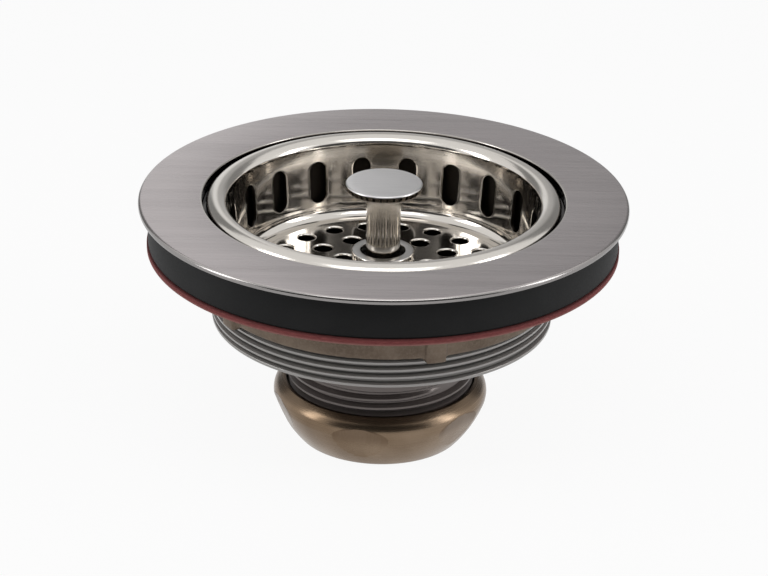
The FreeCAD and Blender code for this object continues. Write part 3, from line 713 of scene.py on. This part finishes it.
def makeBasket(sizes):
    crest = rolledRim(sizes, 18)
    rimLine = [(sizes["rim"], sizes["ledge"]), (sizes["rim"], sizes["rimBase"])] + crest
    wallHeights = (sizes["rimBase"], -0.6, -1.6, sizes["bandTop"])
    rimLine += [(wallRadius(sizes, height), height) for height in wallHeights]
    rim = spinPiece("basket", rimLine, closed=False)
    foot, floor = wallRadius(sizes, sizes["bandFoot"]), sizes["floor"]
    corner = softOutline([(foot, sizes["bandFoot"], 0),
                          (sizes["wallFoot"], sizes["channel"], sizes["bend"] - 0.2),
                          (sizes["rampFoot"], sizes["channel"], 0.4), (sizes["floorRim"], floor, 0.6),
                          (sizes["floorRim"] - 1.2, floor, 0), (sizes["floorRim"] - 1.5, floor, 0)], 8)
    dish = spinPiece("basketFoot", corner, closed=False)
    shank = sizes["shankHole"]
    middle = spinPiece("shankHole", [(shank, floor), (shank + sizes["shankGuard"], floor)],
                       closed=False, steps=48)
    rims = makeHoles(sizes)
    basket = joined([rim, makeSlotBand(sizes), dish, middle] + rims)
    bpy.ops.object.mode_set(mode="EDIT")
    bpy.ops.mesh.select_all(action="SELECT")
    bpy.ops.mesh.remove_doubles(threshold=mm / 200)
    bpy.ops.object.mode_set(mode="OBJECT")
    floorEdges = pickFloorEdges(basket, sizes)
    print(f"floor outline: {floorEdges} edges")
    basket.data.transform(Matrix.Scale(1 / mm, 4))  # fill loses its way in an outline this small
    bpy.ops.object.mode_set(mode="EDIT")
    bpy.ops.mesh.fill(use_beauty=True)
    openHoles(basket, sizes)
    bpy.ops.mesh.select_all(action="SELECT")
    bpy.ops.mesh.normals_make_consistent(inside=False)
    bpy.ops.object.mode_set(mode="OBJECT")
    basket.data.transform(Matrix.Scale(mm, 4))
    floorFaces = [face for face in basket.data.polygons if abs(face.center.z / mm - floor) < 0.01]
    if floorFaces[0].normal.z < 0:
        bpy.ops.object.mode_set(mode="EDIT")
        bpy.ops.mesh.select_all(action="SELECT")
        bpy.ops.mesh.flip_normals()
        bpy.ops.object.mode_set(mode="OBJECT")
    modified(basket, "SOLIDIFY", {"thickness": sizes["sheet"] * mm, "offset": -1, "use_even_offset": True})
    modified(basket, "BEVEL", {"width": sizes["edge"] * mm, "segments": 2, "limit_method": "ANGLE",
                               "angle_limit": math.radians(sizes["edgeAngle"])})
    return basket


def openHoles(basket, sizes):  # takes out what the fill put inside the holes
    circles = [(Vector((0, 0)), sizes["shankHole"] + sizes["shankGuard"])]
    for row in holeRings:
        for number in range(row["count"]):
            angle = math.radians(sizes["turn"] + row["turn"] + 360 * number / row["count"])
            centre = Vector((math.cos(angle), math.sin(angle))) * row["ring"]
            circles.append((centre, row["hole"] + sizes["guard"]))
    bpy.ops.mesh.select_mode(type="FACE")
    bpy.ops.mesh.select_all(action="DESELECT")
    bpy.ops.object.mode_set(mode="OBJECT")
    mesh = basket.data
    for face in mesh.polygons:
        if abs(face.center.z - sizes["floor"]) > 0.01:
            continue
        corners = [mesh.vertices[index].co.xy for index in face.vertices]
        face.select = any(all(abs((corner - centre).length - reach) < 0.02 for corner in corners)
                          for centre, reach in circles)
    bpy.ops.object.mode_set(mode="EDIT")
    bpy.ops.mesh.delete(type="ONLY_FACE")
    bpy.ops.mesh.select_mode(type="VERT")
    bpy.ops.mesh.select_all(action="SELECT")
    bpy.ops.mesh.delete_loose()


def pickFloorEdges(basket, sizes):  # open edges in the floor's plane, apart from the middle hole itself
    pickOnly(basket)
    bpy.ops.object.mode_set(mode="EDIT")
    bpy.ops.mesh.select_mode(type="EDGE")
    bpy.ops.mesh.select_all(action="DESELECT")
    bpy.ops.mesh.select_non_manifold(extend=False, use_wire=False, use_boundary=True, use_multi_face=False,
                                     use_non_contiguous=False, use_verts=False)
    bpy.ops.object.mode_set(mode="OBJECT")
    mesh = basket.data
    middleHole = sizes["shankHole"] + sizes["shankGuard"] / 2
    count = 0
    for edge in mesh.edges:
        ends = [mesh.vertices[index].co / mm for index in edge.vertices]
        flat = all(abs(end.z - sizes["floor"]) < 0.01 for end in ends)
        outside = all(math.hypot(end.x, end.y) > middleHole for end in ends)
        edge.select = edge.select and flat and outside
        count += edge.select
    for vertex in mesh.vertices:
        vertex.select = False
    for edge in mesh.edges:
        if edge.select:
            for index in edge.vertices:
                mesh.vertices[index].select = True
    for face in mesh.polygons:
        face.select = False
    return count


finishPiece(makeBasket(basketSizes), "basket_cup", finishes["polished_nickel"])


# stem guide, and the knob on its stem

guideSizes = {"bore": 4.1, "shank": 5.6, "floor": -17.7, "counterbore": 5.25, "packing": 3.0}
knobSizes = {"stem": 4.05, "thick": 2.1, "dome": 0.35, "edge": 0.45, "shoulder": -27.3, "stud": 3.0}
studThread = {"root": 2.6, "crest": 3.0, "pitch": 1.0, "flat": 0.12, "footShare": 0.9, "sunk": 0.3,
              "foot": -38.0, "top": -32.0, "steps": 40, "runOut": 0.8}


def makeStemGuide(sizes):
    collar, shankEnd, top = nodeSize("stem_guide")
    packingFloor = top - sizes["packing"]
    return spinPiece("stemGuide", softOutline([
        (sizes["bore"], shankEnd, 0.2), (sizes["shank"], shankEnd, 0.4),
        (sizes["shank"], sizes["floor"], 0), (collar, sizes["floor"], 0.3),
        (collar, top, 0.5), (sizes["counterbore"], top, 0.3),
        (sizes["counterbore"], packingFloor, 0), (sizes["bore"], packingFloor, 0)], 5), steps=96)


def makeKnobStem(sizes):
    knob, studEnd, top = nodeSize("knob_stem")
    low, domeFoot, root = top - sizes["thick"], top - sizes["dome"], studThread["root"]
    shares = (0.8, 0.6, 0.4, 0.2, 0)
    dome = [(knob * share, domeFoot + sizes["dome"] * (1 - share ** 2), 0) for share in shares]
    outline = softOutline([
        (0, studEnd, 0), (root, studEnd, 0.4), (root, studThread["top"], 0),
        (sizes["stud"], studThread["top"] + 0.4, 0), (sizes["stud"], sizes["shoulder"], 0),
        (sizes["stem"], sizes["shoulder"], 0.4), (sizes["stem"], low, 0.15), (knob, low, sizes["edge"]),
        (knob, domeFoot + 0.03, sizes["edge"])] + dome, 5)
    return joined([spinPiece("knobStem", outline, steps=128), woundThread("studRidge", studThread)])


finishPiece(makeStemGuide(guideSizes), "stem_guide", collarFinish)
finishPiece(makeKnobStem(knobSizes), "knob_stem", knobFinish)


# nodes whose shape is right keep it and take a finish

plainNodes = {"guide_nut": "plated_steel", "packing_ring": "black_rubber", "upper_washer": "plated_steel",
              "stopper_seal": "black_rubber", "lower_washer": "plated_steel", "stem_nut": "plated_steel",
              "tailpiece_washer": "black_rubber"}
for node, slot in plainNodes.items():
    frame["nodes"][node].data.materials.clear()
    frame["nodes"][node].data.materials.append(finishes[slot])
print("small pieces finished")


# studio: pale floor, soft lights, white background, and glowing cards that only show in polished metal, as
# painted reflections

studio = {"floor": 6.0, "floorColour": (0.86, 0.86, 0.86, 1), "floorRough": 0.9, "floorSheen": 0.1,
          "floorGlow": 0.92, "worldLight": 0.4}
lamps = [{"name": "leftStrip", "place": (-0.58, -0.14, 0.22), "size": (0.16, 0.46), "watts": 1.15},
         {"name": "rightStrip", "place": (0.58, -0.14, 0.22), "size": (0.16, 0.46), "watts": 1.05},
         {"name": "topPanel", "place": (0.0, -0.34, 0.62), "size": (0.6, 0.3), "watts": 1.2}]
# painted reflections: a dark card in front and a brighter card behind, seen only in gloss
cards = [{"name": "darkCard", "place": (0, -0.85, 0.40), "size": (2.4, 0.9), "glow": [(0, 0.08)]},
         {"name": "backCard", "place": (0, 0.46, 0.24), "size": (1.3, 0.6),
          "glow": [(-0.25, 0.28), (-0.16, 1.0), (-0.08, 0.95), (-0.01, 0.56), (0.1, 0.52), (0.24, 0.28)]}]


def seenRays(tree):  # 1 for rays that show the background: to the camera, in gloss and through glass
    path = tree.nodes.new("ShaderNodeLightPath")
    sums = []
    for ray in ("Is Camera Ray", "Is Glossy Ray", "Is Transmission Ray"):
        if not sums:
            sums.append(path.outputs[ray])
            continue
        larger = tree.nodes.new("ShaderNodeMath")
        larger.operation = "MAXIMUM"
        tree.links.new(sums[-1], larger.inputs[0])
        tree.links.new(path.outputs[ray], larger.inputs[1])
        sums.append(larger.outputs[0])
    return sums[-1]


def makeFloor():
    clearSelection()
    bpy.ops.mesh.primitive_plane_add(size=studio["floor"], location=(0, 0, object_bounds()[0][2]))
    floor = bpy.context.object
    floor.name = "studioFloor"
    paper = bpy.data.materials.new("paleFloor")
    paper.use_nodes = True
    tree = paper.node_tree
    shader = tree.nodes["Principled BSDF"]
    shader.inputs["Base Color"].default_value = studio["floorColour"]
    shader.inputs["Roughness"].default_value = studio["floorRough"]
    shader.inputs["Specular IOR Level"].default_value = studio["floorSheen"]
    glow = tree.nodes.new("ShaderNodeEmission")
    mix = tree.nodes.new("ShaderNodeMixShader")
    share = tree.nodes.new("ShaderNodeMath")
    share.operation = "MULTIPLY"
    share.inputs[1].default_value = studio["floorGlow"]
    tree.links.new(seenRays(tree), share.inputs[0])
    tree.links.new(share.outputs[0], mix.inputs[0])
    tree.links.new(shader.outputs[0], mix.inputs[1])
    tree.links.new(glow.outputs[0], mix.inputs[2])
    tree.links.new(mix.outputs[0], tree.nodes["Material Output"].inputs["Surface"])
    floor.data.materials.append(paper)


def makeWorld():
    world = bpy.data.worlds.new("studioWorld")
    bpy.context.scene.world = world
    world.use_nodes = True
    tree = world.node_tree
    background = tree.nodes["Background"]
    background.inputs["Color"].default_value = (1, 1, 1, 1)
    strength = tree.nodes.new("ShaderNodeMapRange")
    strength.inputs["To Min"].default_value = studio["worldLight"]
    tree.links.new(seenRays(tree), strength.inputs["Value"])
    tree.links.new(strength.outputs[0], background.inputs["Strength"])


def makeLamp(lamp):
    light = bpy.data.lights.new(lamp["name"], "AREA")
    light.shape = "RECTANGLE"
    light.size, light.size_y = lamp["size"]
    light.energy = lamp["watts"]
    holder = bpy.data.objects.new(lamp["name"], light)
    bpy.context.collection.objects.link(holder)
    holder.location = lamp["place"]
    holder.rotation_euler = (-Vector(lamp["place"])).to_track_quat("-Z", "Y").to_euler()


def makeCard(card):  # an upright card that glows more or less from left to right: a painted reflection, seen only in gloss
    clearSelection()
    bpy.ops.mesh.primitive_plane_add(size=1)
    panel = bpy.context.object
    panel.name = card["name"]
    across, tall = card["size"]
    upright = Matrix.Rotation(math.radians(90), 4, "X") @ Matrix.Diagonal((across, tall, 1, 1))
    panel.data.transform(Matrix.Translation(card["place"]) @ upright)
    paint = bpy.data.materials.new(card["name"])
    paint.use_nodes = True
    tree = paint.node_tree
    place = tree.nodes.new("ShaderNodeTexCoord")
    split = tree.nodes.new("ShaderNodeSeparateXYZ")
    along = tree.nodes.new("ShaderNodeMapRange")
    along.inputs["From Min"].default_value, along.inputs["From Max"].default_value = -across / 2, across / 2
    ramp = tree.nodes.new("ShaderNodeValToRGB")
    glow = tree.nodes.new("ShaderNodeEmission")
    stops = ramp.color_ramp.elements
    stops.remove(stops[1])
    for number, (x, shine) in enumerate(card["glow"]):
        stop = stops.new(x / across + 0.5) if number else stops[0]
        stop.position, stop.color = x / across + 0.5, (shine, shine, shine, 1)
    tree.links.new(place.outputs["Object"], split.inputs[0])
    tree.links.new(split.outputs[0], along.inputs["Value"])
    tree.links.new(along.outputs[0], ramp.inputs[0])
    tree.links.new(ramp.outputs[0], glow.inputs["Color"])
    tree.links.new(glow.outputs[0], tree.nodes["Material Output"].inputs["Surface"])
    panel.data.materials.append(paint)
    panel.visible_camera = panel.visible_diffuse = panel.visible_shadow = False


# camera at the photograph's angle

cameraSizes = {"distance": 650, "elevation": 24.75, "lens": 128.76, "sensor": 36, "roll": 1.18,
               "target": (0.447, 0, -22.23)}


def makeCamera(sizes):
    camera = bpy.data.cameras.new("camera")
    camera.lens = sizes["lens"]
    camera.sensor_width = sizes["sensor"]
    holder = bpy.data.objects.new("camera", camera)
    bpy.context.collection.objects.link(holder)
    lift, roll = math.radians(sizes["elevation"]), math.radians(sizes["roll"])
    away = Vector((0, -math.cos(lift), math.sin(lift)))
    right, up = Vector((1, 0, 0)), Vector((0, math.sin(lift), math.cos(lift)))
    across = right * math.cos(roll) + up * math.sin(roll)
    above = up * math.cos(roll) - right * math.sin(roll)
    turn = Matrix((across, above, away)).transposed()
    place = Vector(sizes["target"]) * mm + away * sizes["distance"] * mm
    holder.matrix_world = Matrix.Translation(place) @ turn.to_4x4()
    bpy.context.scene.camera = holder


makeFloor()
makeWorld()
for lamp in lamps:
    makeLamp(lamp)
for card in cards:
    makeCard(card)
makeCamera(cameraSizes)
bpy.context.scene.view_settings.view_transform = "Standard"
print("studio ready")
